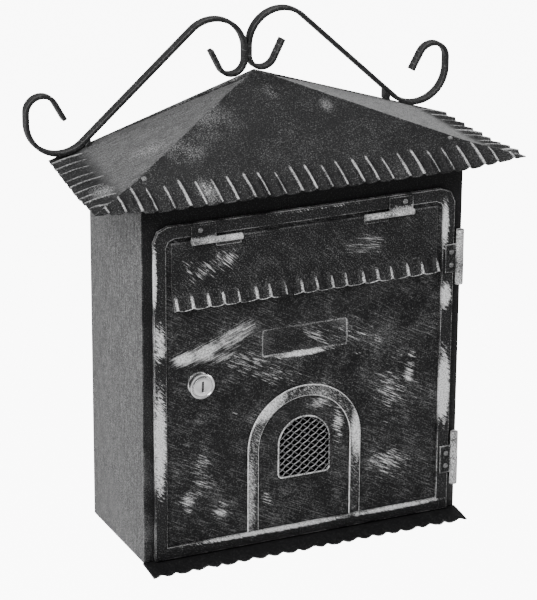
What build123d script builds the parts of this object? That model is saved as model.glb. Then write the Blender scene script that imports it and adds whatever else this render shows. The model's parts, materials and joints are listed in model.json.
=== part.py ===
from build123d import *
import math
import os

os.makedirs("parts", exist_ok=True)

# Wall mounted mailbox. X runs to the right across the front, Y runs into the wall, Z up.
# The wall plane is Y = 0 and the origin is the middle of the four wall screw holes.

# ---------------------------------------------------------------- driving sizes (mm)
body_width = 300.0
body_depth = 118.0
eave_height = 326.0          # underside of the box up to the front eave
roof_rise = 71.0             # front eave up to the peak
sheet = 1.2                  # folded box and door sheet
roof_sheet = 1.2
overhang_front = 22.0
overhang_side_front = 49.5
overhang_side_back = 37.0
eave_back_lift = 8.5         # back corners of the roof sit this much above the front eave
peak_from_wall = 10.0

hole_centre_height = 160.0   # wall hole pattern above the underside of the box
hole_spread_x = 200.0
hole_spread_z = 220.0
wall_hole_radius = 3.0

opening_margin = 30.0        # front face left standing at each side of the door opening
opening_low = 14.0
opening_lip = 6.0            # folded return round the opening

door_side_margin = 9.0
door_low = 2.0
door_top_margin = 21.5       # door top below the front eave
door_corner = 13.0
frame_strip = 11.0
frame_thick = 2.5
door_gap = 0.4               # door sheet off the face of the box

slot_width = 232.0
slot_low_from_top = 55.5
slot_high_from_top = 23.5

flap_side_gap = 5.0
flap_sheet = 1.0
flap_gap = 0.6
flap_axis_from_top = 15.6
flap_bend_from_top = 59.0
flap_lip_drop = 15.0
flap_lip_out = 7.0
flap_knuckle_radius = 2.75
flap_pin_radius = 1.25
flap_hinge_length = 46.0
flap_hinge_x = 80.6
flap_hinge_shift = 3.8       # both flap hinges sit this far left of a centred pair
flap_screw_offset = 15.0     # screw from the middle of each flap hinge, towards its outer end

hinge_length = 50.0
hinge_knuckle_radius = 3.5
hinge_pin_radius = 1.75
hinge_axis_inset = 3.0       # hinge line in from the right side of the box
hinge_low_height = 50.0
hinge_high_height = 240.0
hinge_leaf_thick = 1.2
running_clearance = 0.05
end_clearance = 0.2
knuckle_clearance = 0.4

lock_from_left = 41.5        # lock centre in from the left edge of the door
lock_height = 160.0
lock_ring_radius = 11.8
lock_ring_length = 8.4
lock_body_radius = 10.0
lock_bore_radius = 8.2
lock_rear = 6.0              # housing end behind the face of the box
plug_head_radius = 9.2
cam_reach = 33.0
cam_thick = 1.8
cam_half_width = 6.0
nut_flats = 25.0
nut_thick = 3.6

arch_outer_radius = 54.2
arch_strip = 10.5
arch_thick = 2.0
arch_centre_height = 89.0
window_radius = 24.5
window_low_height = 58.5
window_corner = 4.0
wire_radius = 0.6
wire_pitch = 4.8
wire_tilt = 37.0
mesh_border = 6.0

name_width = 80.0
name_height = 24.0
name_centre_height = 186.5
name_depth = 0.6

sill_depth = 25.0
sill_drop = 3.5
sill_side = 1.5
flute_pitch = 14.4
roof_flute_radius = 3.0
roof_flute_length = 34.0
sill_flute_radius = 2.6
sill_flute_length = 13.0

scroll_thick = 4.0
scroll_width = 9.0
scroll_off_wall = 1.0
scroll_arch_radius = 30.0
scroll_outer_radius = 30.4
scroll_curl_radius = 12.5
scroll_crown_radius = 13.7
scroll_rise = 8.4            # straight between the outer curl and its crown
scroll_weld_gap = 0.05
crest_off_centre = 5.0       # the two scrolls meet this far left of the middle
arch_over_curl = 8.4         # straight between the arch and the inner curl
scroll_right_outer = 159.6   # centre of the outer curl from the middle of the box
scroll_left_outer = 178.0
scroll_foot_width = 5.0
scroll_right_foot = 131.0    # centre of the weld foot from the middle of the box
scroll_left_foot = 154.0

screw_head_radius = 2.2
screw_head_thick = 1.2
screw_shank_radius = 1.2

# ---------------------------------------------------------------- derived positions
base = -hole_centre_height
half = body_width / 2
front = -body_depth
panel_back = front - door_gap
panel_front = panel_back - sheet
frame_front = panel_front - frame_thick
flap_back = panel_front - flap_gap
flap_front = flap_back - flap_sheet
door_half = half - door_side_margin
door_bottom = base + door_low
door_top = base + eave_height - door_top_margin
opening_half = half - opening_margin
opening_bottom = base + opening_low
opening_top = door_top - frame_strip + 2.5
hinge_x = half - hinge_axis_inset
hinge_y = front - hinge_knuckle_radius - 0.3
flap_half = door_half - frame_strip - flap_side_gap
flap_axis_y = flap_front - flap_knuckle_radius - 0.25
flap_axis_z = door_top - flap_axis_from_top
lock_x = -door_half + lock_from_left
lock_z = base + lock_height
ring_front = panel_front - lock_ring_length
housing_back = front + lock_rear
arch_z = base + arch_centre_height

eave_z = base + eave_height
peak = Vector(0, -peak_from_wall, eave_z + roof_rise)
roof_half_front = half + overhang_side_front
roof_half_back = half + overhang_side_back
roof_front_y = front - overhang_front
back_z = eave_z + eave_back_lift
front_right = Vector(roof_half_front, roof_front_y, eave_z)
front_left = Vector(-roof_half_front, roof_front_y, eave_z)
back_right = Vector(roof_half_back, 0, back_z)
back_left = Vector(-roof_half_back, 0, back_z)


# ---------------------------------------------------------------- helpers
def slope_plane(first, second, drop):
    """Plane through the peak and two corners, facing up, lowered by the sheet thickness."""
    along = second - first
    up = (peak - first).cross(along)
    up = up.normalized()
    if up.Z < 0:
        up = up * -1
    start = first - up * drop
    return Plane(origin=start, x_dir=along.normalized(), z_dir=up)


roof_corners = {
    "roof_front": (front_left, front_right),
    "roof_right": (front_right, back_right),
    "roof_left": (front_left, back_left),
    "roof_back": (back_left, back_right),
}


def under_roof(part):
    """Trim a solid so that it ends on the underside of the roof sheets."""
    kept = part
    for first, second in roof_corners.values():
        kept = split(kept, bisect_by=slope_plane(first, second, roof_sheet), keep=Keep.BOTTOM)
    return kept


def flute_frames(first, second, inset_first, inset_second, length, run_limit):
    """Frames on an eave, spaced by the flute pitch, each pointing up the slope."""
    plane = slope_plane(first, second, 0)
    along = (second - first).normalized()
    uphill = plane.z_dir.cross(along)
    if uphill.Z < 0:
        uphill = uphill * -1
    span = (second - first).length - inset_first - inset_second
    count = int(span / flute_pitch)
    start = inset_first + (span - count * flute_pitch) / 2
    frames = []
    for number in range(count + 1):
        place = start + number * flute_pitch
        reach = min(length, run_limit(place))
        if reach < 9:
            continue
        point = first + along * place
        frames.append((Plane(origin=point, x_dir=along, z_dir=uphill), reach))
    return frames


def roof_slope(first, second, frames):
    """One sheet of the roof with half-cone flutes pressed up along its eave."""
    with BuildPart() as slope:
        with BuildSketch(Plane.XY.offset(base)):
            with BuildLine():
                Polyline((first.X, first.Y), (second.X, second.Y), (peak.X, peak.Y), close=True)
            make_face()
        extrude(amount=eave_height + roof_rise + 10)
        split(bisect_by=slope_plane(first, second, 0), keep=Keep.BOTTOM)
        for frame, reach in frames:
            with Locations(frame):
                Cone(roof_flute_radius, 0.3, reach, align=(Align.CENTER, Align.CENTER, Align.MIN))
        split(bisect_by=slope_plane(first, second, roof_sheet), keep=Keep.TOP)
        for frame, reach in frames:
            with Locations(frame.offset(-0.01)):
                Cone(
                    roof_flute_radius - roof_sheet,
                    0.05,
                    reach * (1 - roof_sheet / roof_flute_radius),
                    align=(Align.CENTER, Align.CENTER, Align.MIN),
                    mode=Mode.SUBTRACT,
                )
    return slope.part


def save(part, name):
    part.label = name
    export_step(part, f"parts/{name}.step")
    return part


# ---------------------------------------------------------------- box
with BuildPart() as body_wrap:
    with BuildSketch(Plane.XY.offset(base)):
        with Locations((0, front / 2)):
            Rectangle(body_width, body_depth)
        with Locations((0, front / 2)):
            Rectangle(body_width - 2 * sheet, body_depth - 2 * sheet, mode=Mode.SUBTRACT)
        with Locations((0, front)):
            Rectangle(body_width, 2 * sheet, mode=Mode.SUBTRACT)
    extrude(amount=eave_height + roof_rise)
    with BuildSketch(Plane.XZ):
        with GridLocations(hole_spread_x, hole_spread_z, 2, 2):
            Circle(wall_hole_radius)
    extrude(amount=sheet * 2, both=True, mode=Mode.SUBTRACT)
body_wrap_part = save(under_roof(body_wrap.part), "body_wrap")

with BuildPart() as front_frame:
    opening_mid = (opening_bottom + opening_top) / 2
    with BuildSketch(Plane.XZ.offset(-front)):
        with Locations((0, base + sheet + (eave_height + roof_rise) / 2)):
            Rectangle(body_width, eave_height + roof_rise)
        with Locations((0, opening_mid)):
            Rectangle(2 * opening_half, opening_top - opening_bottom, mode=Mode.SUBTRACT)
    extrude(amount=-sheet)
    with BuildSketch(Plane.XZ.offset(-front)):
        with Locations((0, opening_mid)):
            Rectangle(2 * opening_half + 2 * sheet, opening_top - opening_bottom + 2 * sheet)
            Rectangle(2 * opening_half, opening_top - opening_bottom, mode=Mode.SUBTRACT)
    extrude(amount=-opening_lip)
front_frame_part = save(under_roof(front_frame.part), "front_frame")

with BuildPart() as bottom_panel:
    with BuildSketch(Plane.XY.offset(base)):
        with Locations((0, (front - sheet) / 2)):
            Rectangle(body_width - 2 * sheet, body_depth - sheet)
    extrude(amount=sheet)
    with BuildSketch(Plane.YZ.offset(-half - sill_side)):
        with BuildLine():
            Polyline(
                (front, base),
                (front, base + sheet),
                (front - sill_depth, base + sheet - sill_drop),
                (front - sill_depth, base - sill_drop),
                close=True,
            )
        make_face()
    extrude(amount=body_width + 2 * sill_side)
    sill_tip = Vector(0, front - sill_depth, base + sheet - sill_drop)
    sill_back = Vector(0, sill_depth, sill_drop).normalized()
    sill_count = int((body_width - 8) / flute_pitch)
    sill_frames = []
    for number in range(sill_count + 1):
        sill_x = (number - sill_count / 2) * flute_pitch
        place = Vector(sill_x, sill_tip.Y, sill_tip.Z)
        sill_frames.append(Plane(origin=place, x_dir=(1, 0, 0), z_dir=sill_back))
    for frame in sill_frames:
        with Locations(frame):
            Cone(sill_flute_radius, 0.3, sill_flute_length, align=(Align.CENTER, Align.CENTER, Align.MIN))
    with BuildSketch(Plane.YZ.offset(-half - sill_side - 1)):
        with BuildLine():
            Polyline(
                (front - 1, base - 0.14),
                (front - sill_depth - 2, base - sill_drop - 0.28),
                (front - sill_depth - 2, base - sill_drop - 9),
                (front - 1, base - 9),
                close=True,
            )
        make_face()
    extrude(amount=body_width + 2 * sill_side + 2, mode=Mode.SUBTRACT)
    for frame in sill_frames:
        with Locations(frame.offset(-0.01)):
            Cone(
                sill_flute_radius - sheet,
                0.05,
                sill_flute_length * (1 - sheet / sill_flute_radius),
                align=(Align.CENTER, Align.CENTER, Align.MIN),
                mode=Mode.SUBTRACT,
            )
bottom_panel_part = save(bottom_panel.part, "bottom_panel")

# ---------------------------------------------------------------- roof
front_run = (roof_rise**2 + (-roof_front_y - peak_from_wall) ** 2) ** 0.5
front_span = 2 * roof_half_front


def front_limit(place):
    near = min(place, front_span - place)
    return near / roof_half_front * front_run - 5


def side_limit(place):
    return place * 1.3 - 4


front_frames = flute_frames(front_left, front_right, 9, 9, roof_flute_length, front_limit)
right_frames = flute_frames(front_right, back_right, 8, 20, roof_flute_length, side_limit)
left_frames = flute_frames(front_left, back_left, 8, 20, roof_flute_length, side_limit)
roof_front_part = roof_slope(front_left, front_right, front_frames)
roof_right_part = roof_slope(front_right, back_right, right_frames)
roof_left_part = roof_slope(front_left, back_left, left_frames)
roof_back_part = roof_slope(back_left, back_right, [])

rivet_share = 0.745
front_plane = slope_plane(front_left, front_right, 0)
rivet_frames = []
for side in (-1, 1):
    corner = front_left if side < 0 else front_right
    spot = corner + (peak - corner) * (1 - rivet_share)
    spot = spot + Vector(-side * 6, 0, 0)
    rivet_frames.append(Plane(origin=spot, x_dir=(1, 0, 0), z_dir=front_plane.z_dir))

with BuildPart() as roof_front_drilled:
    add(roof_front_part)
    for frame in rivet_frames:
        with Locations(frame):
            Cylinder(screw_shank_radius, 3 * roof_sheet, mode=Mode.SUBTRACT)
save(roof_front_drilled.part, "roof_front")
save(roof_right_part, "roof_right")
save(roof_left_part, "roof_left")
save(roof_back_part, "roof_back")

with BuildPart() as roof_rivets:
    for frame in rivet_frames:
        with Locations(frame):
            Cone(2.6, 1.4, 1.3, align=(Align.CENTER, Align.CENTER, Align.MIN))
            Cylinder(screw_shank_radius, 1.5 * roof_sheet, align=(Align.CENTER, Align.CENTER, Align.MAX))
save(roof_rivets.part, "roof_rivets")

# ---------------------------------------------------------------- scrolls
side_plane = slope_plane(front_right, back_right, 0)
normal = side_plane.z_dir


def side_height(x, y):
    point = front_right
    return point.Z - (normal.X * (x - point.X) + normal.Y * (y - point.Y)) / normal.Z


fall = math.atan2(normal.X, normal.Z)
turn = scroll_arch_radius + scroll_outer_radius


class ScrollLayout:
    """Where one scroll touches the roof, measured outwards from the middle of the box."""

    def __init__(self, side):
        self.side = side
        meeting = -side * crest_off_centre
        self.arch_x = meeting + scroll_thick / 2 + scroll_arch_radius
        curl_x = meeting + scroll_thick / 2 + scroll_curl_radius
        curl_reach = (scroll_curl_radius + scroll_thick / 2) / math.cos(fall)
        curl_z = side_height(curl_x, -peak_from_wall) + curl_reach + scroll_weld_gap
        self.arch_z = curl_z + arch_over_curl
        self.outer_x = scroll_right_outer if side > 0 else scroll_left_outer
        outer_reach = (scroll_outer_radius + scroll_thick / 2) / math.cos(fall)
        self.outer_z = side_height(self.outer_x, -scroll_off_wall) + outer_reach
        gap_x = self.arch_x - self.outer_x
        gap_z = self.arch_z - self.outer_z
        bar_length = (gap_x**2 + gap_z**2 - turn**2) ** 0.5
        self.heading = math.degrees(math.atan2(gap_z, gap_x) - math.atan2(turn, bar_length))
        left_x = -math.sin(math.radians(self.heading))
        left_z = math.cos(math.radians(self.heading))
        self.bar_low = (self.outer_x + scroll_outer_radius * left_x, self.outer_z + scroll_outer_radius * left_z)
        self.bar_high = (self.arch_x - scroll_arch_radius * left_x, self.arch_z - scroll_arch_radius * left_z)


def scroll(layout):
    """One flat-bar scroll standing on the roof near the wall."""
    with BuildPart() as bar:
        with BuildLine(Plane.XZ.offset(scroll_off_wall + scroll_width / 2)) as path:
            straight = Line(layout.bar_low, layout.bar_high)
            arch = JernArc(straight @ 1, straight % 1, scroll_arch_radius, 270 - layout.heading)
            drop = Line(arch @ 1, (arch @ 1) + (arch % 1) * arch_over_curl)
            curl = JernArc(drop @ 1, drop % 1, scroll_curl_radius, 153)
            Line(curl @ 1, (curl @ 1) + (curl % 1) * 18.5)
            back = (straight % 0) * -1
            foot = JernArc(straight @ 0, back, scroll_outer_radius, 270 - layout.heading)
            rise = Line(foot @ 1, (foot @ 1) + (foot % 1) * scroll_rise)
            crown = JernArc(rise @ 1, rise % 1, scroll_crown_radius, 151)
            Line(crown @ 1, (crown @ 1) + (crown % 1) * 17.6)
        for edge in path.edges():
            with BuildSketch(Plane(origin=edge @ 0, x_dir=(0, 1, 0), z_dir=edge % 0)):
                Rectangle(scroll_width, scroll_thick)
            sweep(path=edge)
    if layout.side < 0:
        return mirror(bar.part, about=Plane.YZ)
    return bar.part


right_scroll = ScrollLayout(1)
left_scroll = ScrollLayout(-1)


def under_bar(layout, x):
    """Height of the underside of the scroll above the roof at x."""
    near_x, near_z = layout.bar_low
    if x > near_x:
        inner = scroll_outer_radius + scroll_thick / 2
        return layout.outer_z - (inner**2 - (layout.outer_x - x) ** 2) ** 0.5
    slope = math.radians(180 - layout.heading)
    return near_z + (near_x - x) * math.tan(slope) - scroll_thick / 2 / math.cos(slope)


# small feet weld each bar to the roof beside its outer curl
with BuildPart() as scroll_feet:
    for layout, centre in ((right_scroll, scroll_right_foot), (left_scroll, scroll_left_foot)):
        low_x = centre - scroll_foot_width / 2
        high_x = centre + scroll_foot_width / 2
        with BuildSketch(Plane.XZ.offset(scroll_off_wall)):
            with BuildLine():
                Polyline(
                    (layout.side * low_x, side_height(low_x, -scroll_off_wall)),
                    (layout.side * high_x, side_height(high_x, -scroll_off_wall)),
                    (layout.side * high_x, under_bar(layout, high_x)),
                    (layout.side * low_x, under_bar(layout, low_x)),
                    close=True,
                )
            make_face()
        extrude(amount=scroll_width)
save(scroll_feet.part, "scroll_feet")
save(scroll(right_scroll), "scroll_right")
save(scroll(left_scroll), "scroll_left")


# ---------------------------------------------------------------- door
def door_points(inset):
    """Corner points of the door outline with cut top corners, moved in by the inset."""
    side = door_half - inset
    low = door_bottom + inset
    high = door_top - inset
    cut = door_corner - inset * 0.5
    return [
        (-side, low),
        (side, low),
        (side, high - cut),
        (side - cut * 0.3, high - cut * 0.3),
        (side - cut, high),
        (-side + cut, high),
        (-side + cut * 0.3, high - cut * 0.3),
        (-side, high - cut),
    ]


screw_x = door_half - 3.0
screw_places = []
for height in (hinge_low_height, hinge_high_height):
    for offset in (-6, 6):
        screw_places.append((screw_x, base + height + offset))
flap_screw_places = []
for side in (-1, 1):
    flap_screw_places.append((side * (flap_hinge_x + flap_screw_offset) - flap_hinge_shift, door_top - 6))

with BuildPart() as door_panel:
    with BuildSketch(Plane.XZ.offset(-panel_back)):
        with BuildLine():
            Polyline(*door_points(0), close=True)
        make_face()
        with Locations((0, door_top - (slot_low_from_top + slot_high_from_top) / 2)):
            Rectangle(slot_width, slot_low_from_top - slot_high_from_top, mode=Mode.SUBTRACT)
        with Locations((lock_x, lock_z)):
            Circle(lock_body_radius + 0.1, mode=Mode.SUBTRACT)
        with BuildLine():
            window_low = base + window_low_height
            window_arc = ThreePointArc(
                (window_radius, arch_z), (0, arch_z + window_radius), (-window_radius, arch_z)
            )
            Polyline(
                window_arc @ 1,
                (-window_radius, window_low + window_corner),
                (-window_radius + window_corner, window_low),
                (window_radius - window_corner, window_low),
                (window_radius, window_low + window_corner),
                window_arc @ 0,
            )
        make_face(mode=Mode.SUBTRACT)
        with Locations(*screw_places, *flap_screw_places):
            Circle(screw_shank_radius, mode=Mode.SUBTRACT)
    extrude(amount=sheet)
    with BuildSketch(Plane.XZ.offset(-panel_front)):
        with Locations((0, base + name_centre_height)):
            RectangleRounded(name_width, name_height, 2)
    extrude(amount=-name_depth, mode=Mode.SUBTRACT)
save(door_panel.part, "door_panel")

with BuildPart() as door_frame:
    with BuildSketch(Plane.XZ.offset(-panel_front)):
        with BuildLine():
            Polyline(*door_points(0), close=True)
        make_face()
        with BuildLine():
            Polyline(*door_points(frame_strip), close=True)
        make_face(mode=Mode.SUBTRACT)
        with Locations(*screw_places, *flap_screw_places):
            Circle(screw_shank_radius, mode=Mode.SUBTRACT)
    extrude(amount=frame_thick)
save(door_frame.part, "door_frame")

with BuildPart() as arch_trim:
    with BuildSketch(Plane.XZ.offset(-panel_front)):
        arch_low = door_bottom + frame_strip
        for radius, mode in ((arch_outer_radius, Mode.ADD), (arch_outer_radius - arch_strip, Mode.SUBTRACT)):
            with BuildLine():
                arc = ThreePointArc((-radius, arch_z), (0, arch_z + radius), (radius, arch_z))
                Polyline(arc @ 1, (radius, arch_low), (-radius, arch_low), arc @ 0)
            make_face(mode=mode)
    extrude(amount=arch_thick)
save(arch_trim.part, "arch_trim")

# woven look of the screen: two layers of straight wires at opposite slants
screen_half = window_radius + mesh_border
screen_low = base + window_low_height - mesh_border
screen_high = arch_z + window_radius + mesh_border
screen_mid = (screen_low + screen_high) / 2
with BuildPart() as window_mesh:
    for layer, slant in ((0, wire_tilt), (1, -wire_tilt)):
        wire_y = panel_back + wire_radius + layer * (2 * wire_radius - 0.15)
        for number in range(-16, 17):
            direction = Vector(math.cos(math.radians(slant)), 0, math.sin(math.radians(slant)))
            middle = Vector(number * wire_pitch / math.sin(math.radians(wire_tilt)), wire_y, screen_mid)
            spans = []
            for limit in (-screen_half, screen_half):
                spans.append((limit - middle.X) / direction.X)
            rows = []
            for limit in (screen_low, screen_high):
                rows.append((limit - middle.Z) / direction.Z)
            near = max(min(spans), min(rows))
            far = min(max(spans), max(rows))
            if far - near < 6:
                continue
            start = middle + direction * near
            with Locations(Plane(origin=start, z_dir=direction)):
                Cylinder(wire_radius, far - near, align=(Align.CENTER, Align.CENTER, Align.MIN))
save(window_mesh.part, "window_mesh")

# ---------------------------------------------------------------- door hinges
for name, height in (("lower", hinge_low_height), ("upper", hinge_high_height)):
    middle = base + height
    with BuildPart() as fixed:
        with BuildSketch(Plane.XY.offset(middle - hinge_length / 2)):
            with Locations((hinge_x, hinge_y)):
                Circle(hinge_knuckle_radius)
            with Locations((half + hinge_leaf_thick / 2, (hinge_y + front + 18) / 2)):
                Rectangle(hinge_leaf_thick, front + 18 - hinge_y)
            with Locations((hinge_x, hinge_y)):
                Circle(hinge_pin_radius, mode=Mode.SUBTRACT)
        extrude(amount=hinge_length / 2 - end_clearance)
    save(fixed.part, f"door_hinge_{name}_fixed")
    with BuildPart() as moving:
        with BuildSketch(Plane.XY.offset(middle)):
            with Locations((hinge_x, hinge_y)):
                Circle(hinge_knuckle_radius)
                Circle(hinge_pin_radius + running_clearance, mode=Mode.SUBTRACT)
        extrude(amount=hinge_length / 2)
        leaf_left = door_half - 8.5
        leaf_right = hinge_x - hinge_knuckle_radius - knuckle_clearance
        with BuildSketch(Plane.XZ.offset(-frame_front)):
            with Locations(((leaf_left + leaf_right) / 2, middle)):
                Rectangle(leaf_right - leaf_left, 26)
            with Locations((hinge_x - 4, middle + 6.5)):
                Rectangle(4, 13)
            with Locations((screw_x, middle - 6), (screw_x, middle + 6)):
                Circle(screw_shank_radius, mode=Mode.SUBTRACT)
        extrude(amount=hinge_leaf_thick)
    save(moving.part, f"door_hinge_{name}_moving")

with BuildPart() as door_hinge_pins:
    for height in (hinge_low_height, hinge_high_height):
        with Locations((hinge_x, hinge_y, base + height)):
            Cylinder(hinge_pin_radius, hinge_length)
save(door_hinge_pins.part, "door_hinge_pins")

with BuildPart() as door_hinge_screws:
    with BuildSketch(Plane.XZ.offset(-(frame_front - hinge_leaf_thick))):
        with Locations(*screw_places):
            Circle(screw_head_radius)
    extrude(amount=screw_head_thick)
    with BuildSketch(Plane.XZ.offset(-(frame_front - hinge_leaf_thick))):
        with Locations(*screw_places):
            Circle(screw_shank_radius)
    extrude(amount=-(hinge_leaf_thick + frame_thick + sheet))
save(door_hinge_screws.part, "door_hinge_screws")

# ---------------------------------------------------------------- letter flap
flap_bend_z = door_top - flap_bend_from_top
flap_lip_z = flap_bend_z - flap_lip_drop
lip_slope = Vector(0, -flap_lip_out, -flap_lip_drop).normalized()
lip_out = Vector(0, -flap_lip_drop, flap_lip_out).normalized()
lip_length = (flap_lip_drop**2 + flap_lip_out**2) ** 0.5
lip_back = Vector(0, flap_back, flap_bend_z)
lip_tip = lip_back + lip_slope * lip_length
lip_tip_front = lip_tip + lip_out * flap_sheet
lip_behind = lip_back - lip_slope * 9
lip_below = lip_tip + lip_slope * 9
flap_count = int((2 * flap_half - 6) / flute_pitch)
with BuildPart() as lip_ribs:
    for number in range(flap_count + 1):
        rib_x = (number - flap_count / 2) * flute_pitch
        foot = Vector(rib_x, lip_tip_front.Y, lip_tip_front.Z)
        with Locations(Plane(origin=foot, x_dir=(1, 0, 0), z_dir=lip_slope * -1)):
            Cone(3.2, 0.6, lip_length, align=(Align.CENTER, Align.CENTER, Align.MIN))
    with BuildSketch(Plane.YZ.offset(-flap_half - 5)):
        with BuildLine():
            Polyline(
                (lip_behind.Y, lip_behind.Z),
                (lip_below.Y, lip_below.Z),
                (front + 20, lip_below.Z),
                (front + 20, lip_behind.Z),
                close=True,
            )
        make_face()
    extrude(amount=2 * flap_half + 10, mode=Mode.SUBTRACT)

with BuildPart() as flap_plate:
    with BuildSketch(Plane.YZ.offset(-flap_half)):
        with BuildLine():
            Polyline(
                (flap_back, flap_axis_z + 0.5),
                (flap_back, flap_bend_z),
                (lip_tip.Y, lip_tip.Z),
                (lip_tip_front.Y, lip_tip_front.Z),
                (flap_front, flap_bend_z + 0.2),
                (flap_front, flap_axis_z + 0.5),
                close=True,
            )
        make_face()
    extrude(amount=2 * flap_half)
    add(lip_ribs.part)
save(flap_plate.part, "flap_plate")

for name, side in (("left", -1), ("right", 1)):
    centre_x = side * flap_hinge_x - flap_hinge_shift
    half_length = flap_hinge_length / 2
    with BuildPart() as fixed:
        with BuildSketch(Plane.YZ.offset(centre_x + side * end_clearance)):
            with Locations((flap_axis_y, flap_axis_z)):
                Circle(flap_knuckle_radius)
                Circle(flap_pin_radius, mode=Mode.SUBTRACT)
        extrude(amount=side * (half_length - end_clearance))
        leaf_high = door_top - 1.5
        leaf_x = centre_x + side * (half_length + end_clearance) / 2
        with BuildSketch(Plane.XZ.offset(-frame_front)):
            with Locations((leaf_x, (flap_axis_z + 1.5 + leaf_high) / 2)):
                Rectangle(half_length - end_clearance, leaf_high - flap_axis_z - 1.5)
            with Locations((side * (flap_hinge_x + flap_screw_offset) - flap_hinge_shift, door_top - 6)):
                Circle(screw_shank_radius, mode=Mode.SUBTRACT)
        extrude(amount=1.0)
    save(fixed.part, f"flap_hinge_{name}_fixed")
    with BuildPart() as moving:
        with BuildSketch(Plane.YZ.offset(centre_x - side * half_length)):
            with Locations((flap_axis_y, flap_axis_z)):
                Circle(flap_knuckle_radius)
                Circle(flap_pin_radius + running_clearance, mode=Mode.SUBTRACT)
            with Locations((flap_front - 0.5, flap_axis_z - 4.2)):
                Rectangle(1.0, 5)
        extrude(amount=side * half_length)
    save(moving.part, f"flap_hinge_{name}_moving")

with BuildPart() as flap_hinge_pins:
    for side in (-1, 1):
        with BuildSketch(Plane.YZ.offset(side * flap_hinge_x - flap_hinge_shift - flap_hinge_length / 2)):
            with Locations((flap_axis_y, flap_axis_z)):
                Circle(flap_pin_radius)
        extrude(amount=flap_hinge_length)
save(flap_hinge_pins.part, "flap_hinge_pins")

with BuildPart() as flap_hinge_screws:
    with BuildSketch(Plane.XZ.offset(-(frame_front - 1.0))):
        with Locations(*flap_screw_places):
            Circle(screw_head_radius)
    extrude(amount=screw_head_thick)
    with BuildSketch(Plane.XZ.offset(-(frame_front - 1.0))):
        with Locations(*flap_screw_places):
            Circle(screw_shank_radius)
    extrude(amount=-(1.0 + frame_thick + sheet))
save(flap_hinge_screws.part, "flap_hinge_screws")

# ---------------------------------------------------------------- cam lock
lock_centre = (lock_x, lock_z)
with BuildPart() as lock_housing:
    with BuildSketch(Plane.XZ.offset(-panel_front)):
        with Locations(lock_centre):
            Circle(lock_ring_radius)
    extrude(amount=lock_ring_length)
    fillet(edges().filter_by(GeomType.CIRCLE).sort_by(Axis.Y)[0], 1.2)
    with BuildSketch(Plane.XZ.offset(-panel_front)):
        with Locations(lock_centre):
            Circle(lock_body_radius)
    extrude(amount=-(housing_back - panel_front))
    with BuildSketch(Plane.XZ.offset(-housing_back)):
        with Locations(lock_centre):
            Circle(lock_bore_radius)
    extrude(amount=housing_back - ring_front + 1, mode=Mode.SUBTRACT)
    with BuildSketch(Plane.XZ.offset(-ring_front)):
        with Locations(lock_centre):
            Circle(plug_head_radius + running_clearance)
    extrude(amount=-0.8, mode=Mode.SUBTRACT)
save(lock_housing.part, "lock_housing")

with BuildPart() as lock_nut:
    with BuildSketch(Plane.XZ.offset(-(panel_back + nut_thick))):
        with Locations(lock_centre):
            RegularPolygon(nut_flats / 2, 6, major_radius=False)
            Circle(lock_body_radius, mode=Mode.SUBTRACT)
    extrude(amount=nut_thick)
save(lock_nut.part, "lock_nut")

cam_front = housing_back + 0.3
with BuildPart() as lock_plug:
    with BuildSketch(Plane.XZ.offset(-(ring_front + 0.75))):
        with Locations(lock_centre):
            Circle(plug_head_radius)
    extrude(amount=1.25)
    with BuildSketch(Plane.XZ.offset(-cam_front)):
        with Locations(lock_centre):
            Circle(lock_bore_radius - running_clearance)
    extrude(amount=cam_front - ring_front - 0.75)
    with BuildSketch(Plane.XZ.offset(-(cam_front + cam_thick))):
        with Locations(lock_centre):
            Rectangle(7, 7)
    extrude(amount=cam_thick)
    with BuildSketch(Plane.XZ.offset(-(ring_front - 0.5))):
        with Locations(lock_centre):
            Rectangle(2.2, 9.5)
    extrude(amount=-7, mode=Mode.SUBTRACT)
    with BuildSketch(Plane.XZ.offset(-(cam_front + cam_thick))):
        with Locations(lock_centre):
            Circle(2)
    extrude(amount=9, mode=Mode.SUBTRACT)
save(lock_plug.part, "lock_plug")

with BuildPart() as lock_cam:
    with BuildSketch(Plane.XZ.offset(-(cam_front + cam_thick))):
        with Locations((lock_x, lock_z + (cam_reach - cam_half_width) / 2)):
            SlotCenterToCenter(cam_reach - cam_half_width, 2 * cam_half_width, rotation=90)
        with Locations(lock_centre):
            Circle(8)
            Rectangle(7, 7, mode=Mode.SUBTRACT)
    extrude(amount=cam_thick)
save(lock_cam.part, "lock_cam")

with BuildPart() as cam_screw:
    with BuildSketch(Plane.XZ.offset(-(cam_front + cam_thick + 2.4))):
        with Locations(lock_centre):
            Circle(5.2)
    extrude(amount=2.4)
    with BuildSketch(Plane.XZ.offset(-(cam_front + cam_thick))):
        with Locations(lock_centre):
            Circle(2)
    extrude(amount=8.5)
    with BuildSketch(Plane.XZ.offset(-(cam_front + cam_thick + 2.4))):
        with Locations(lock_centre):
            Rectangle(8, 1.2)
    extrude(amount=1.0, mode=Mode.SUBTRACT)
save(cam_screw.part, "cam_screw")
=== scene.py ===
# %% [markdown]
# # Wall mounted mailbox
# This lesson dresses a finished CAD model of a small house shaped mailbox. The CAD model gives the sizes and
# the moving parts. Blender adds what a hand made steel box shows up close: crimped sheet edges, rounded
# strips, woven wire, and black enamel with silver rubbed over it.

# %% Load the frame
import json
import math

import bmesh
import bpy
from mathutils import Matrix, Vector


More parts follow.
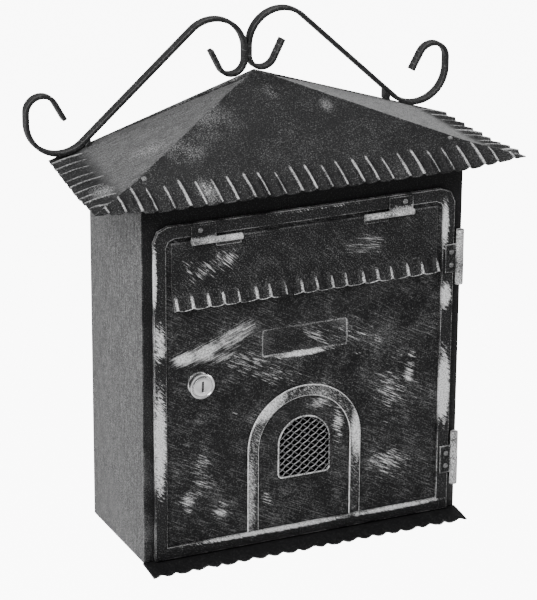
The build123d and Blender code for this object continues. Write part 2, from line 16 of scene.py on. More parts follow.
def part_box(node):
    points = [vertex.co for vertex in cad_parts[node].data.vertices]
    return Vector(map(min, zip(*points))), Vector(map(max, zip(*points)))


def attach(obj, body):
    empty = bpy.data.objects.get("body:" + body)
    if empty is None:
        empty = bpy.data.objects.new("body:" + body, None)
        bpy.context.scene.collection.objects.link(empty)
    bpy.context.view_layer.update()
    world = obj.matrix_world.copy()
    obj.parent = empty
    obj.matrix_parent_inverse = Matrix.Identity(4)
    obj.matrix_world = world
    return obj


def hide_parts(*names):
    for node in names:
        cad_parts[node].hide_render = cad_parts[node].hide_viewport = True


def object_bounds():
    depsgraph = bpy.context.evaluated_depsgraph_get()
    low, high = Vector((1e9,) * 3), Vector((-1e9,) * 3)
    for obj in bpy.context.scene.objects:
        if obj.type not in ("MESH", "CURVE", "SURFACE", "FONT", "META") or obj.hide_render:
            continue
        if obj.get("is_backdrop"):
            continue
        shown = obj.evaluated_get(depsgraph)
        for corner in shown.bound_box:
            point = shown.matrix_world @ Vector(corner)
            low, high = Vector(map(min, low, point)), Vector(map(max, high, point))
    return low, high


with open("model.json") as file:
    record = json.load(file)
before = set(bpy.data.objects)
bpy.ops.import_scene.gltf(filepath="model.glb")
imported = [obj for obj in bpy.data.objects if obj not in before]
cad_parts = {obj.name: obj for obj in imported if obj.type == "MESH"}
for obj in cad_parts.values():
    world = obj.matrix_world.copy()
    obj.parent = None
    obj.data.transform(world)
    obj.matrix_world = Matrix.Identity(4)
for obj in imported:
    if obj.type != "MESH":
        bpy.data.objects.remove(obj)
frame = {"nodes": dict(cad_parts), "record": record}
cad_box = [list(corner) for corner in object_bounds()]
nodes = frame["nodes"]
print("CAD box", [[round(value, 4) for value in corner] for corner in cad_box])

# %% [markdown]
# The camera stands to the left of the box, a little above it, and far off with a long lens, so that upright
# edges stay nearly parallel. A camera looks down its own -Z, so its matrix takes the right, up and backward
# directions as columns.

# %% Camera
TURN = math.radians(24.7225)
TILT_DOWN = math.radians(20.314)
ROLL = math.radians(0.3644)
CAMERA_PLACE = (-1.01818, -2.25528, 0.93622)
SENSOR_WIDTH = 36.0
FOCAL_LENGTH = 177.1086

level = math.cos(TILT_DOWN)
forward = Vector((math.sin(TURN) * level, math.cos(TURN) * level, -math.sin(TILT_DOWN)))
flat_right = Vector((math.cos(TURN), -math.sin(TURN), 0))
flat_up = flat_right.cross(forward)
right = flat_right * math.cos(ROLL) + flat_up * math.sin(ROLL)
up = flat_up * math.cos(ROLL) - flat_right * math.sin(ROLL)
camera_data = bpy.data.cameras.new("camera")
camera_data.sensor_width = SENSOR_WIDTH
camera_data.lens = FOCAL_LENGTH
camera_data.clip_end = 50.0
camera = bpy.data.objects.new("camera", camera_data)
bpy.context.collection.objects.link(camera)
axes = Matrix((right, up, -forward)).transposed().to_4x4()
camera.matrix_world = Matrix.Translation(CAMERA_PLACE) @ axes
bpy.context.scene.camera = camera
print("lens", round(camera_data.lens, 1), "mm")

# %% [markdown]
# The box stands alone in a white studio. The floor is one pale sheet well below the box, so that the shadow falls out
# of the way. It glows only for the camera, so it looks evenly white and yet throws no extra light on the enamel.

# %% White floor
FLOOR_DROP = 0.55
FLOOR_HALF = 12.0
FLOOR_GLOW = 9.0


def paper_white(name):
    """Matt white that also looks evenly lit to the camera."""
    material = bpy.data.materials.new(name)
    material.use_nodes = True
    tree = material.node_tree
    shader = tree.nodes["Principled BSDF"]
    shader.inputs["Base Color"].default_value = (0.85, 0.85, 0.85, 1)
    shader.inputs["Roughness"].default_value = 0.9
    shader.inputs["Emission Color"].default_value = (1, 1, 1, 1)
    seen = tree.nodes.new("ShaderNodeLightPath")
    glow = tree.nodes.new("ShaderNodeMath")
    glow.operation = "MULTIPLY"
    tree.links.new(seen.outputs["Is Camera Ray"], glow.inputs[0])
    glow.inputs[1].default_value = FLOOR_GLOW
    tree.links.new(glow.outputs[0], shader.inputs["Emission Strength"])
    return material


floor_mesh = bmesh.new()
bmesh.ops.create_grid(floor_mesh, x_segments=1, y_segments=1, size=FLOOR_HALF)
bmesh.ops.translate(floor_mesh, verts=floor_mesh.verts, vec=(0, 0, cad_box[0][2] - FLOOR_DROP))
floor_data = bpy.data.meshes.new("floor")
floor_mesh.to_mesh(floor_data)
floor_mesh.free()
floor = bpy.data.objects.new("floor", floor_data)
bpy.context.collection.objects.link(floor)
floor_data.materials.append(paper_white("paper_floor"))
floor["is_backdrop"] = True
print("floor", FLOOR_DROP, "m below the box")

# %% [markdown]
# Enamel is judged by its reflections. Big area lights make them broad and gentle. The strongest comes from the upper
# left, a second one from the left keeps the side sheet paler than the face, and weaker ones fill the right and the top.


# %% Lights
WORLD_STRENGTH = 0.3


def soft_light(name, place, aim, size, power):
    """A square area light at place, turned to face aim."""
    data = bpy.data.lights.new(name, "AREA")
    data.shape = "RECTANGLE"
    data.size, data.size_y = size
    data.energy = power
    lamp = bpy.data.objects.new(name, data)
    bpy.context.collection.objects.link(lamp)
    lamp.location = place
    lamp.rotation_euler = (Vector(aim) - Vector(place)).to_track_quat("-Z", "Y").to_euler()
    return lamp


soft_light("key", (-1.5, -1.4, 1.7), (0, 0, 0.05), (1.0, 1.0), 62)
soft_light("left_side", (-2.4, 0.2, 0.5), (0, -0.06, 0.0), (1.2, 1.8), 44)
soft_light("right_side", (1.9, -1.1, 0.9), (0, 0, 0.05), (0.8, 1.4), 16)
soft_light("top", (0.2, 0.5, 2.2), (0, 0, 0.1), (1.4, 1.0), 26)
world = bpy.data.worlds.new("studio")
bpy.context.scene.world = world
world.use_nodes = True
world.node_tree.nodes["Background"].inputs["Color"].default_value = (1, 1, 1, 1)
world.node_tree.nodes["Background"].inputs["Strength"].default_value = WORLD_STRENGTH
print("lights", len(bpy.data.lights))

# %% [markdown]
# Every painted sheet has the same finish: black enamel with silver rubbed on by a nearly dry brush. The silver
# catches on raised places and edges, and leaves strokes on the flats. The finish is built from masks: strokes are
# noise stretched along the brush direction, patches say where the brush pressed, and a number stored on the mesh,
# called rub, marks ridges. A mask of 0 is enamel and 1 is silver.

# %% Node helpers
class Recipe:
    """Short names for adding and joining shader nodes in one material."""

    def __init__(self, name):
        self.material = bpy.data.materials.new(name)
        self.material.use_nodes = True
        self.tree = self.material.node_tree
        self.shader = self.tree.nodes["Principled BSDF"]
        self.place = self.add("ShaderNodeTexCoord").outputs["Object"]

    def add(self, kind, **settings):
        made = self.tree.nodes.new(kind)
        for key, value in settings.items():
            setattr(made, key, value)
        return made

    def join(self, source, target):
        if isinstance(source, (int, float)):
            target.default_value = source
        else:
            self.tree.links.new(source, target)

    def math(self, operation, first, second=0.0, clamp=False):
        made = self.add("ShaderNodeMath", operation=operation, use_clamp=clamp)
        self.join(first, made.inputs[0])
        self.join(second, made.inputs[1])
        return made.outputs[0]

    def step(self, value, low, high, start=0.0, end=1.0):
        made = self.add("ShaderNodeMapRange", interpolation_type="SMOOTHSTEP")
        self.join(value, made.inputs["Value"])
        for key, number in (("From Min", low), ("From Max", high), ("To Min", start), ("To Max", end)):
            made.inputs[key].default_value = number
        return made.outputs["Result"]

    def mapped(self, centre=(0, 0, 0), turn=(0, 0, 0), size=(1, 1, 1)):
        made = self.add("ShaderNodeMapping", vector_type="TEXTURE")
        self.join(self.place, made.inputs["Vector"])
        made.inputs["Location"].default_value = centre
        made.inputs["Rotation"].default_value = turn
        made.inputs["Scale"].default_value = size
        return made.outputs["Vector"]

    def noise(self, vector, scale, detail=2.0, rough=0.5, seed=0.0):
        made = self.add("ShaderNodeTexNoise", noise_dimensions="4D")
        self.join(vector, made.inputs["Vector"])
        made.inputs["W"].default_value = seed
        made.inputs["Scale"].default_value = scale
        made.inputs["Detail"].default_value = detail
        made.inputs["Roughness"].default_value = rough
        return made.outputs["Fac"]


# %% [markdown]
# Two marks make up the hand work. A stroke is noise stretched along the brush. A patch is a soft oval that says where
# the brush pressed. Both are worked out from the place on the piece, so they stay where they are when a piece moves.


# %% Strokes and patches
def strokes(recipe, turn, length, width, seed=0.0):
    """Brush marks: noise that is long in the direction given by turn and fine across it."""
    vector = recipe.mapped(turn=turn, size=(length, width, width))
    return recipe.noise(vector, 1.0, detail=3.0, rough=0.62, seed=seed)


def patch(recipe, centre, radii, turn, flat):
    """1 in the middle of an oval and 0 at its rim. It ignores the axis flat; ALL_AXES ignores none."""
    keep = [1.0, 1.0, 1.0, 1.0]
    keep[flat] = 0.0
    vector = recipe.mapped(centre, turn, radii)
    dropped = recipe.add("ShaderNodeVectorMath", operation="MULTIPLY")
    recipe.join(vector, dropped.inputs[0])
    dropped.inputs[1].default_value = keep[:3]
    far = recipe.add("ShaderNodeVectorMath", operation="LENGTH")
    recipe.join(dropped.outputs[0], far.inputs[0])
    return recipe.step(far.outputs["Value"], 0.0, 1.0, 1.0, 0.0)


def tilted(degrees):
    """A turn in the plane of the door. A positive angle falls to the right."""
    return (0, math.radians(degrees), 0)


NO_TURN = (0, 0, 0)


def oval(x, z, wide, high, power, turn=NO_TURN):
    """A patch in the plane of the door, as its centre, radii, turn and pressure."""
    return (x, 0, z), (wide, 1, high), turn, power


FLAT_Y = 1
ALL_AXES = 3
DOWN_RIGHT = tilted(28)
UP_RIGHT = tilted(-20)
STEEP = tilted(42)
UPRIGHT = tilted(90)
print("brush directions ready")

# %% [markdown]
# Each way that silver gets onto the enamel is one mask. Brushed flats come first: strokes and patches are added before
# one threshold, so a patch makes strokes there wider and closer, and they fray at its rim as paint does.


# %% Brushed flats
STROKE_START = 0.78


def brushed_flats(r, cloud, stroke_sets, front):
    """Silver strokes. A sheet brushed on its outside only has none behind the depth front."""
    mask = 0.0
    for number, (turn, length, width, patches, flat, soft) in enumerate(stroke_sets):
        mark = strokes(r, turn, length, width, seed=number * 3.1)
        where = 0.0
        for centre, radii, twist, power in patches:
            pressed_here = r.math("MULTIPLY", patch(r, centre, radii, twist, flat), power)
            where = r.math("MAXIMUM", where, pressed_here)
        ragged = r.math("MULTIPLY", r.math("SUBTRACT", cloud, 0.5), 0.35)
        pressed = r.math("ADD", r.math("ADD", mark, ragged), r.math("MULTIPLY", where, 0.5))
        mask = r.math("MAXIMUM", mask, r.step(pressed, STROKE_START, STROKE_START + soft))
    if front is not None:
        parts = r.add("ShaderNodeSeparateXYZ")
        r.join(r.place, parts.inputs[0])
        mask = r.math("MULTIPLY", mask, r.math("LESS_THAN", parts.outputs["Y"], front))
    return mask


# %% [markdown]
# Edges and ridges are rubbed bare first on a real box. The Bevel node compares the smoothed corner with the sharp
# one, which finds every edge. Ridges come from the number called rub that the mesh carries.


# %% Worn edges and ridges
def worn_edges(r, grain, cloud, bevel, gain):
    """Silver along every edge, broken up by the grain."""
    shape = r.add("ShaderNodeNewGeometry")
    agree = r.add("ShaderNodeVectorMath", operation="DOT_PRODUCT")
    r.join(bevel.outputs["Normal"], agree.inputs[0])
    r.join(shape.outputs["True Normal"], agree.inputs[1])
    edge = r.step(r.math("SUBTRACT", 1.0, agree.outputs["Value"]), 0.004, 0.14)
    spotty = r.step(r.math("ADD", r.math("MULTIPLY", grain, 0.5), cloud), 0.6, 0.95)
    return r.math("MULTIPLY", r.math("MULTIPLY", edge, spotty), gain)


def rubbed_ridges(r, grain, cloud, gain):
    """Silver where the rub number of the mesh is high, with a ragged border."""
    rub = r.add("ShaderNodeAttribute", attribute_name="rub")
    ridge = r.math("ADD", rub.outputs["Fac"], r.math("MULTIPLY", r.math("SUBTRACT", cloud, 0.5), 0.8))
    ridge = r.step(r.math("ADD", ridge, r.math("MULTIPLY", r.math("SUBTRACT", grain, 0.5), 0.7)), 0.5, 1.0)
    return r.math("MULTIPLY", ridge, gain)


# %% [markdown]
# Plain sheets carry a thin even grey veil, a painted sheen that stands in for the light they reflect, and the door and
# the front slope have a fine hatch from the last light strokes. Here and there the dry brush was dabbed, which leaves
# speckled clouds.


# %% Painted sheen veil, hatch and clouds
def painted_sheen_veil(r, turn, amount):
    """A thin even grey veil that is a painted sheen. A number stored on the mesh keeps it out of the crimps, which
    leaves painted shade there.
    """
    shade = r.add("ShaderNodeAttribute", attribute_name="shade")
    veil = strokes(r, turn, 0.012, 0.0011, seed=9.0)
    veil = r.step(veil, 0.25, 0.75, amount * 0.45, amount * 1.45)
    clear = r.math("SUBTRACT", 1.0, shade.outputs["Fac"], clamp=True)
    return r.math("MULTIPLY", veil, clear)


def fine_hatch(r, cloud, turn, amount):
    """Faint thin lines, thicker in some places than in others."""
    line = strokes(r, turn, 0.016, 0.0007, seed=5.0)
    line = r.math("ADD", line, r.math("MULTIPLY", r.math("SUBTRACT", cloud, 0.5), 0.5))
    return r.step(line, 0.48, 0.82, 0.0, amount)


def dabbed_cloud(r, grain, cloud, centre, radii, twist, power):
    """One soft speckled oval."""
    soft_oval = r.math("MULTIPLY", patch(r, centre, radii, twist, ALL_AXES), power)
    speckled = r.math("ADD", r.math("MULTIPLY", cloud, 0.8), r.math("MULTIPLY", grain, 0.9))
    return r.math("MULTIPLY", soft_oval, r.step(speckled, 0.72, 1.05))


# %% [markdown]
# The masks are put together here. The strongest one wins at each point, the grain of the enamel breaks it up, and a
# little dust is added everywhere. The mask then mixes the two colours and also drives the metal, the roughness and a
# very low bump, because silver paint lies on top of the enamel.

# %% Rubbed enamel
ENAMEL = (0.0085, 0.0085, 0.009)
SILVER = (0.93, 0.93, 0.935)
GRAIN_SCALE = 950.0
CLOUD_SCALE = 34.0


def rubbed_enamel(
    name,
    stroke_sets=(),
    edge_radius=0.0014,
    edge_gain=1.0,
    painted_sheen=0.0,
    painted_sheen_turn=NO_TURN,
    hatch=0.0,
    hatch_turn=NO_TURN,
    dust=0.16,
    clouds=(),
    gloss=0.12,
    front=None,
    ridge_gain=1.0,
):
    """Black enamel with silver rubbed over it.

    stroke_sets holds (turn, length, width, patches, flat axis, softness).
    clouds holds soft ovals of silver dust.
    """
    r = Recipe(name)
    grain = r.noise(r.place, GRAIN_SCALE, 3.0, 0.6)
    cloud = r.noise(r.place, CLOUD_SCALE, 4.0, 0.6, seed=2.0)
    bevel = r.add("ShaderNodeBevel", samples=6)
    bevel.inputs["Radius"].default_value = edge_radius
    edge = worn_edges(r, grain, cloud, bevel, edge_gain)
    ridge = rubbed_ridges(r, grain, cloud, ridge_gain)
    mask = r.math("MAXIMUM", brushed_flats(r, cloud, stroke_sets, front), r.math("MAXIMUM", edge, ridge))
    # The grey veil is a painted sheen: grey laid over the enamel to stand in for reflected light.
    if painted_sheen:
        mask = r.math("MAXIMUM", mask, painted_sheen_veil(r, painted_sheen_turn, painted_sheen))
    if hatch:
        mask = r.math("MAXIMUM", mask, fine_hatch(r, cloud, hatch_turn, hatch))
    for dab in clouds:
        mask = r.math("MAXIMUM", mask, dabbed_cloud(r, grain, cloud, *dab))
    fine = r.math("ADD", r.math("MULTIPLY", grain, 0.88), r.math("MULTIPLY", cloud, 0.12))
    speck = r.step(fine, 0.5, 0.72, 0.0, dust)
    broken = r.math("MULTIPLY", mask, r.step(grain, 0.32, 0.62, 0.3, 1.05))
    paint(r, r.math("ADD", broken, speck, clamp=True), grain, cloud, bevel, gloss)
    return r.material


def paint(r, mask, grain, cloud, bevel, gloss):
    """Set the colour, metal, roughness and bump of a finish from its mask."""
    colour = r.add("ShaderNodeMix", data_type="RGBA")
    r.join(mask, colour.inputs["Factor"])
    colour.inputs["A"].default_value = (*ENAMEL, 1)
    colour.inputs["B"].default_value = (*SILVER, 1)
    r.join(colour.outputs["Result"], r.shader.inputs["Base Color"])
    r.shader.inputs["Specular IOR Level"].default_value = gloss
    r.join(r.math("MULTIPLY", mask, 0.3), r.shader.inputs["Metallic"])
    roughness = r.math("ADD", r.step(cloud, 0.3, 0.75, 0.4, 0.56), r.math("MULTIPLY", mask, 0.1))
    r.join(roughness, r.shader.inputs["Roughness"])
    bump = r.add("ShaderNodeBump")
    bump.inputs["Strength"].default_value = 0.3
    bump.inputs["Distance"].default_value = 0.0003
    height = r.math("ADD", r.math("MULTIPLY", grain, 0.6), r.math("MULTIPLY", mask, 0.5))
    r.join(height, bump.inputs["Height"])
    r.join(bevel.outputs["Normal"], bump.inputs["Normal"])
    r.join(bump.outputs["Normal"], r.shader.inputs["Normal"])


# %% [markdown]
# The door has the boldest hand work: one broad swipe above the lock, and a hatch that falls to the right over the rest.
# It is brushed on its outside only, so nothing shows in mirror image on its inner side. Each oval gives a place across
# and up, two radii and the pressure.

# %% Door finish
door_swipe = [
    oval(-0.112, 0.0235, 0.024, 0.0140, 1.50),
    oval(-0.094, 0.0265, 0.040, 0.0190, 1.15, UP_RIGHT),
    oval(-0.066, 0.0370, 0.046, 0.0220, 0.98, UP_RIGHT),
    oval(-0.080, 0.0200, 0.036, 0.0160, 0.80),
]
door_hatch = [
    oval(-0.054, 0.012, 0.050, 0.026, 0.66, DOWN_RIGHT),
    oval(-0.030, -0.006, 0.070, 0.030, 0.62, DOWN_RIGHT),
    oval(0.010, -0.014, 0.060, 0.026, 0.50, DOWN_RIGHT),
    oval(-0.070, -0.030, 0.050, 0.040, 0.42, DOWN_RIGHT),
    oval(0.085, -0.035, 0.050, 0.070, 0.60),
    oval(0.101, -0.022, 0.014, 0.026, 0.84),
    oval(0.104, -0.006, 0.010, 0.012, 0.80),
    oval(0.082, -0.104, 0.050, 0.036, 0.70, DOWN_RIGHT),
    oval(-0.098, -0.085, 0.040, 0.066, 0.60),
    oval(-0.110, -0.108, 0.022, 0.024, 0.74),
    oval(-0.078, -0.122, 0.022, 0.020, 0.72),
    oval(0.048, 0.020, 0.070, 0.046, 0.52, DOWN_RIGHT),
    oval(-0.002, 0.0125, 0.054, 0.0060, 1.2),
    oval(0.010, 0.028, 0.060, 0.020, 0.66, DOWN_RIGHT),
    oval(0.033, -0.062, 0.013, 0.044, 0.76),
    oval(0.015, -0.037, 0.030, 0.012, 0.76),
    oval(-0.035, -0.118, 0.012, 0.034, 0.60),
]
door_strokes = [
    (UP_RIGHT, 0.016, 0.0008, door_swipe, FLAT_Y, 0.36),
    (DOWN_RIGHT, 0.011, 0.0008, door_hatch, FLAT_Y, 0.24),
]
enamel_door = rubbed_enamel(
    "enamel_door",
    door_strokes,
    edge_gain=0.8,
    hatch=0.2,
    dust=0.12,
    hatch_turn=DOWN_RIGHT,
    front=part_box("door_panel")[0][1] + 0.0007,
)
print(enamel_door.name, "patches", len(door_swipe) + len(door_hatch))

# %% [markdown]
# The letter flap is darker. Short steep strokes cross its left part, and a fainter, flatter group its right.

# %% Flap finish
flap_hatch = [
    oval(-0.092, 0.104, 0.060, 0.036, 0.60),
    oval(-0.072, 0.108, 0.026, 0.022, 0.66),
]
flap_faint = [oval(0.060, 0.104, 0.085, 0.034, 0.52)]
flap_strokes = [
    (STEEP, 0.012, 0.0010, flap_hatch, FLAT_Y, 0.22),
    (tilted(12), 0.011, 0.0008, flap_faint, FLAT_Y, 0.3),
]
enamel_flap = rubbed_enamel(
    "enamel_flap",
    flap_strokes,
    edge_gain=0.12,
    hatch=0.09,
    hatch_turn=STEEP,
    dust=0.16,
    front=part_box("flap_plate")[1][1] - 0.0005,
)
print(enamel_flap.name, "patches", len(flap_hatch) + len(flap_faint))

# %% [markdown]
# The side sheets get an even grey veil, a painted sheen added to what the light from the left gives them. The narrow
# face round the door and the sill stay nearly black.

# %% Box finish
enamel_box = rubbed_enamel("enamel_box", edge_gain=0.4, painted_sheen=0.115, painted_sheen_turn=UPRIGHT)
enamel_face = rubbed_enamel("enamel_face", edge_gain=0.2, dust=0.05, gloss=0.08)
print(enamel_box.name, enamel_face.name)

# %% [markdown]
# The front slope is dark with a few dabbed clouds near its left hip. The left and right slopes have a grey veil, a
# painted sheen, strongest on the right slope, which reflects the most light. It stays out of their crimps, which leaves
# painted shade there.

# %% Roof finish
front_clouds = [
    ((-0.066, -0.058, 0.211), (0.040, 0.036, 0.026), NO_TURN, 0.14),
    ((-0.098, -0.084, 0.196), (0.026, 0.028, 0.018), NO_TURN, 0.20),
    ((-0.095, -0.128, 0.173), (0.012, 0.026, 0.016), NO_TURN, 0.34),
    ((0.004, -0.036, 0.2225), (0.010, 0.014, 0.010), NO_TURN, 0.22),
    ((0.048, -0.057, 0.211), (0.009, 0.014, 0.010), NO_TURN, 0.20),
]
side_clouds = [
    ((-0.125, -0.066, 0.194), (0.040, 0.022, 0.030), NO_TURN, 0.34),
    ((-0.174, -0.100, 0.176), (0.018, 0.026, 0.018), NO_TURN, 0.30),
    ((-0.130, -0.012, 0.193), (0.050, 0.006, 0.030), NO_TURN, 0.22),
]
roof_hatch = [
    oval(-0.085, 0.198, 0.060, 0.030, 0.36, tilted(-25)),
    oval(-0.094, 0.174, 0.014, 0.016, 0.70, tilted(60)),
]
enamel_roof_front = rubbed_enamel(
    "enamel_roof_front",
    [(tilted(50), 0.008, 0.0011, roof_hatch, FLAT_Y, 0.3)],
    edge_gain=0.1,
    hatch=0.05,
    hatch_turn=DOWN_RIGHT,
    dust=0.12,
    clouds=front_clouds,
    gloss=0.08,
    ridge_gain=0.6,
)
# Lit and shaded copies of one finish: the grey veils are painted sheen, light on the left slope and strong on the
# right.
enamel_roof_left = rubbed_enamel(
    "enamel_roof_left",
    edge_gain=0.1,
    painted_sheen=0.125,
    painted_sheen_turn=UP_RIGHT,
    dust=0.08,
    clouds=side_clouds,
    gloss=0.08,
    ridge_gain=0.33,
)
enamel_roof_right = rubbed_enamel(
    "enamel_roof_right", edge_gain=0.1, painted_sheen=0.3, painted_sheen_turn=DOWN_RIGHT, ridge_gain=0.6
)
print("roof finishes", enamel_roof_front.name, enamel_roof_left.name, enamel_roof_right.name)

# %% [markdown]
# Small parts were painted with the rest and only their edges are rubbed. The scrolls are the glossiest pieces.

# %% Small part finishes
# The screw heads also get the grey veil of painted sheen.
enamel_screw = rubbed_enamel("enamel_screw", edge_gain=0.8, painted_sheen=0.2)
enamel_hinge = rubbed_enamel("enamel_hinge", edge_gain=0.8)
enamel_scroll = rubbed_enamel("enamel_scroll", edge_gain=0.3, edge_radius=0.001, dust=0.1, gloss=0.4)
print("small part finishes ready")

# %% [markdown]
# The raised strips round the door stand proud, so the brush leaves long columns of silver on them. The arch caught
# nearly as much all the way round. Every column is wider than its strip, so it fills it from side to side.

# %% Strip and arch finish
COLUMN_WIDER = 1.5
COLUMN_LONGER = 1.15
COLUMN_PRESSURE = 0.4
strip_columns = [
    oval(-0.1405, 0.100, 0.0030, 0.050, 0.9),
    oval(-0.1365, 0.040, 0.0085, 0.034, 0.55),
    oval(-0.1365, -0.050, 0.0085, 0.085, 0.85),
    oval(0.1320, 0.112, 0.0050, 0.034, 0.85),
    oval(0.1340, 0.046, 0.0070, 0.020, 0.9),
    oval(0.1345, -0.040, 0.0085, 0.060, 1.0),
    oval(-0.030, -0.1485, 0.100, 0.004, 0.85),
    oval(0.090, -0.1485, 0.060, 0.004, 0.85),
    oval(0.020, 0.1425, 0.130, 0.0022, 0.15),
    oval(-0.0500, -0.100, 0.0060, 0.080, 0.7),
    oval(0.0490, -0.080, 0.0060, 0.045, 1.0),
    oval(-0.034, -0.032, 0.030, 0.020, 0.85, tilted(-40)),
]
strip_patches = []
for centre, radii, twist, power in strip_columns:
    wide = (radii[0] * COLUMN_WIDER, 1, radii[2] * COLUMN_LONGER)
    strip_patches.append((centre, wide, twist, power + COLUMN_PRESSURE))
strip_strokes = [(STEEP, 0.005, 0.0009, strip_patches, FLAT_Y, 0.22)]
enamel_strip = rubbed_enamel("enamel_strip", strip_strokes, edge_gain=0.8, gloss=0.16)
arch_patches = [
    oval(0, -0.060, 0.250, 0.250, 0.72),
    oval(-0.052, -0.110, 0.014, 0.100, 0.95),
    oval(0.052, -0.066, 0.016, 0.056, 1.6),
    oval(-0.036, -0.030, 0.044, 0.030, 1.4, tilted(-40)),
]
arch_strokes = [(STEEP, 0.004, 0.0008, arch_patches, FLAT_Y, 0.36)]
enamel_arch = rubbed_enamel("enamel_arch", arch_strokes, edge_gain=0.8, gloss=0.16)
print("materials", len(bpy.data.materials))

# %% [markdown]
# The lock is chromed, its nut, cam and screws are zinc plated, and the screen is dull galvanised wire. Plating shows
# as fine scratches that change the roughness and lift the surface a very little.


# %% Bare metals
def bare_metal(name, colour, roughness, scratch, dull=None):
    """Plated metal with fine scratches. dull is the colour where the rub number is 0; on the screen that number is
    painted light.
    """
    r = Recipe(name)
    line = strokes(r, (0.3, 0.6, 0.2), 0.01, 0.00025, seed=1.0)
    cloud = r.noise(r.place, 220.0, 3.0, 0.6)
    r.shader.inputs["Base Color"].default_value = (*colour, 1)
    r.shader.inputs["Metallic"].default_value = 1.0
    if dull:
        rub = r.add("ShaderNodeAttribute", attribute_name="rub")
        tone = r.add("ShaderNodeMix", data_type="RGBA")
        r.join(rub.outputs["Fac"], tone.inputs["Factor"])
        tone.inputs["A"].default_value = (*dull, 1)
        tone.inputs["B"].default_value = (*colour, 1)
        r.join(tone.outputs["Result"], r.shader.inputs["Base Color"])
    scratched = r.step(line, 0.4, 0.7, roughness, roughness + scratch)
    r.join(r.math("ADD", scratched, r.math("MULTIPLY", cloud, 0.08)), r.shader.inputs["Roughness"])
    bump = r.add("ShaderNodeBump")
    bump.inputs["Strength"].default_value = 0.12
    bump.inputs["Distance"].default_value = 0.0001
    r.join(line, bump.inputs["Height"])
    r.join(bump.outputs["Normal"], r.shader.inputs["Normal"])
    return r.material


chrome = bare_metal("chrome", (0.9, 0.9, 0.905), 0.14, 0.1)
zinc = bare_metal("zinc", (0.55, 0.55, 0.56), 0.38, 0.15)
wire = bare_metal("wire", (0.36, 0.36, 0.37), 0.4, 0.1, dull=(0.16, 0.16, 0.165))
print("bare metals", chrome.name, zinc.name, wire.name)

# %% [markdown]
# Most CAD pieces already have the right shape but their edges are as sharp as a knife, and no light catches on them.
# A copy of the mesh is merged, its flat triangles are joined into whole faces, and every corner edge is bevelled.
# The copy then stands for the CAD piece.

# %% Helpers for pieces
SMOOTH_ANGLE = math.radians(32)
FLAT_ANGLE = math.radians(0.5)
SAME_PLACE = 1e-6


def add_piece(name, bm, body, slot_name, material, *stands_for):
    """Turn a finished bmesh into an object that rides on a body and stands for CAD nodes."""
    data = bpy.data.meshes.new(name)
    bm.to_mesh(data)
    bm.free()
    data.materials.append(material)
    for polygon in data.polygons:
        polygon.use_smooth = True
    data.set_sharp_from_angle(angle=SMOOTH_ANGLE)
    piece = bpy.data.objects.new(name, data)
    bpy.context.collection.objects.link(piece)
    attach(piece, body)
    if stands_for:
        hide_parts(*stands_for)
    return piece


def loose_edges(bm):
    """The edges with a face on one side only."""
    return [edge for edge in bm.edges if len(edge.link_faces) == 1]


def merged_copy(node_name):
    """A bmesh of a CAD node with doubles merged and flat triangles joined."""
    bm = bmesh.new()
    bm.from_mesh(nodes[node_name].data)
    bmesh.ops.remove_doubles(bm, verts=bm.verts, dist=SAME_PLACE)
    bmesh.ops.dissolve_limit(
        bm,
        angle_limit=FLAT_ANGLE,
        use_dissolve_boundaries=False,
        verts=bm.verts,
        edges=bm.edges,
        delimit={"NORMAL"},
    )
    return bm


print("piece helpers ready")

# %% [markdown]
# Only real corners are rounded, so the bevel takes the edges that turn by more than 50 degrees. The frame says which
# body and which material slot each CAD node has, and the rounded copy rides on that body.


# %% Rounded copies
CORNER_ANGLE = math.radians(50)


def round_edges(bm, radius, segments=2):
    """Bevel the edges that turn by more than CORNER_ANGLE."""
    chosen = []
    for edge in bm.edges:
        if len(edge.link_faces) == 2 and edge.calc_face_angle(0.0) >= CORNER_ANGLE:
            chosen.append(edge)
    bmesh.ops.bevel(
        bm,
        geom=chosen,
        offset=radius,
        offset_type="OFFSET",
        segments=segments,
        profile=0.5,
        affect="EDGES",
        material=-1,
        clamp_overlap=True,
        loop_slide=True,
    )
    return len(chosen)


record = frame["record"]
slot_of = {entry["node"]: entry["material_slot"] for entry in record["subparts"]}
body_of_node = {}
for body_name, members in record["behaviour"]["bodies"].items():
    for member in members:
        body_of_node[member] = body_name


def rounded_copy(node_name, radius, material, segments=2, rubbed=None):
    """A bevelled piece that stands for one CAD node. rubbed gives the silver at a point, from 0 to 1."""
    bm = merged_copy(node_name)
    count = round_edges(bm, radius, segments)
    if rubbed:
        rub = bm.verts.layers.float.new("rub")
        for vert in bm.verts:
            vert[rub] = rubbed(vert.co)
    body, slot_name = body_of_node[node_name], slot_of[node_name]
    piece = add_piece(node_name + "_worn", bm, body, slot_name, material, node_name)
    print(node_name, "edges rounded", count, "faces", len(piece.data.polygons))
    return piece


print("nodes with a body", len(body_of_node))

# %% [markdown]
# Crimping a sheet edge gathers the metal: a pair of pliers pulls up a narrow ridge every 14 mm or so, and the metal
# between the ridges stays wide and flat. Every ridge is a little different because a hand made it. A grid of vertices
# is laid over the slope, with rows close together near the eave, and each vertex is pushed along the normal.

# %% Crimped sheet helpers
BASE_Z = -0.160
EAVE_Z = BASE_Z + 0.326
PITCH = 0.0144
SHEET = 0.0012


def smooth(value):
    """A soft step from 0 to 1."""
    value = min(1.0, max(0.0, value))
    return value * value * (3 - 2 * value)


def wobble(number, seed):
    """A fixed number between -1 and 1 for each ridge."""
    return math.sin(number * 12.9898 + seed * 78.233) * math.cos(number * 4.1414 + seed * 3.7)


